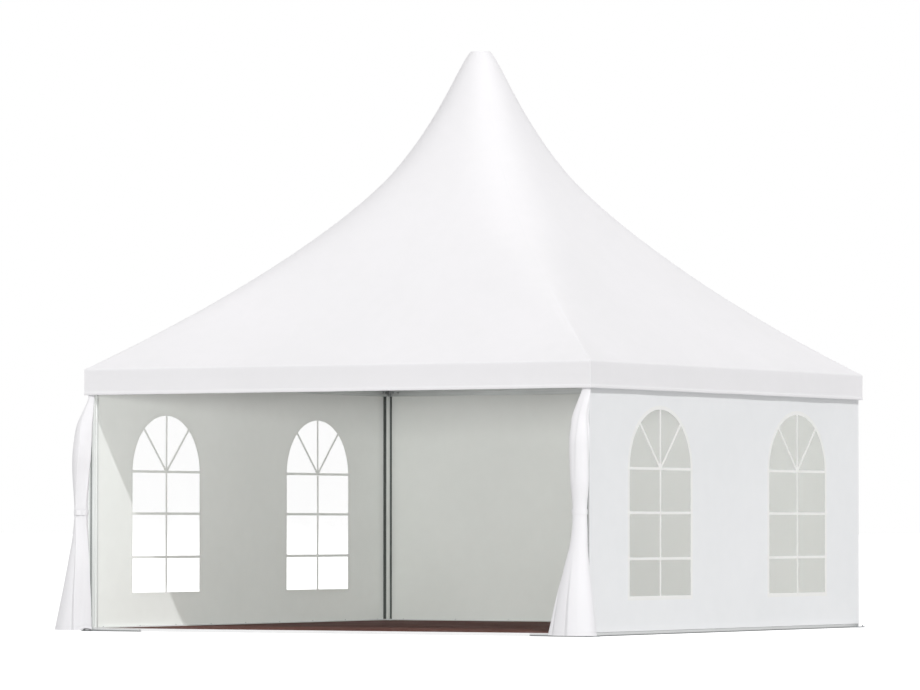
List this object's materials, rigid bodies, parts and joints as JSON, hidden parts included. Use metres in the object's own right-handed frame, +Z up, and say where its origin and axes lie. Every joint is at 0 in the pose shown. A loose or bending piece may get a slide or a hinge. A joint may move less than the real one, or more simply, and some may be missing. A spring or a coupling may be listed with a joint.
{
  "type": "marquee tent",
  "caption": "Square high-peak pagoda marquee: membrane roof on a king pole, aluminium frame, sheet walls with arched windows, open front with tied curtains, boarded floor.",
  "frame": {"origin": "middle of the square plan, on the ground, at the floor deck's underside", "axes": "+Z up; the open front faces -Y; +X is the right-hand windowed wall as seen from the front"},
  "size_m": [5.387, 5.3169, 5.14],
  "materials": {
    "aluminium": "anodised, satin",
    "galvanised_steel": "galvanised, dull",
    "roof_membrane": "white coated polyester sheet, satin",
    "wall_membrane": "white coated polyester sheet, satin",
    "clear_pane": "clear flexible sheet",
    "floor_boards": "red-brown stained boards, matt",
    "threshold": "white painted edge profile",
    "curtain_cloth": "white soft drapes"
  },
  "bodies": {
    "root": {"base_rail_back": "aluminium", "base_rail_left": "aluminium", "base_rail_right": "aluminium", "corner_bracket_back_left": "galvanised_steel", "corner_bracket_back_right": "galvanised_steel", "corner_bracket_front_left": "galvanised_steel", "corner_bracket_front_right": "galvanised_steel", "curtain_left": "curtain_cloth", "curtain_right": "curtain_cloth", "eave_beam_back": "aluminium", "eave_beam_front": "aluminium", "eave_beam_left": "aluminium", "eave_beam_right": "aluminium", "floor_deck": "floor_boards", "foot_plate_back_left": "galvanised_steel", "foot_plate_back_right": "galvanised_steel", "foot_plate_front_left": "galvanised_steel", "foot_plate_front_right": "galvanised_steel", "front_threshold": "threshold", "king_pole": "galvanised_steel", "peak_cap": "roof_membrane", "post_back_left": "aluminium", "post_back_right": "aluminium", "post_front_left": "aluminium", "post_front_right": "aluminium", "roof_cable_back_left": "galvanised_steel", "roof_cable_back_right": "galvanised_steel", "roof_cable_front_left": "galvanised_steel", "roof_cable_front_right": "galvanised_steel", "roof_panel_back": "roof_membrane", "roof_panel_front": "roof_membrane", "roof_panel_left": "roof_membrane", "roof_panel_right": "roof_membrane", "tie_band_left": "curtain_cloth", "tie_band_right": "curtain_cloth", "valance_back": "roof_membrane", "valance_front": "roof_membrane", "valance_left": "roof_membrane", "valance_right": "roof_membrane", "wall_back": "wall_membrane", "wall_left": "wall_membrane", "wall_right": "wall_membrane", "window_pane_left_1": "clear_pane", "window_pane_left_2": "clear_pane", "window_pane_right_1": "clear_pane", "window_pane_right_2": "clear_pane"}
  },
  "joints": []
}
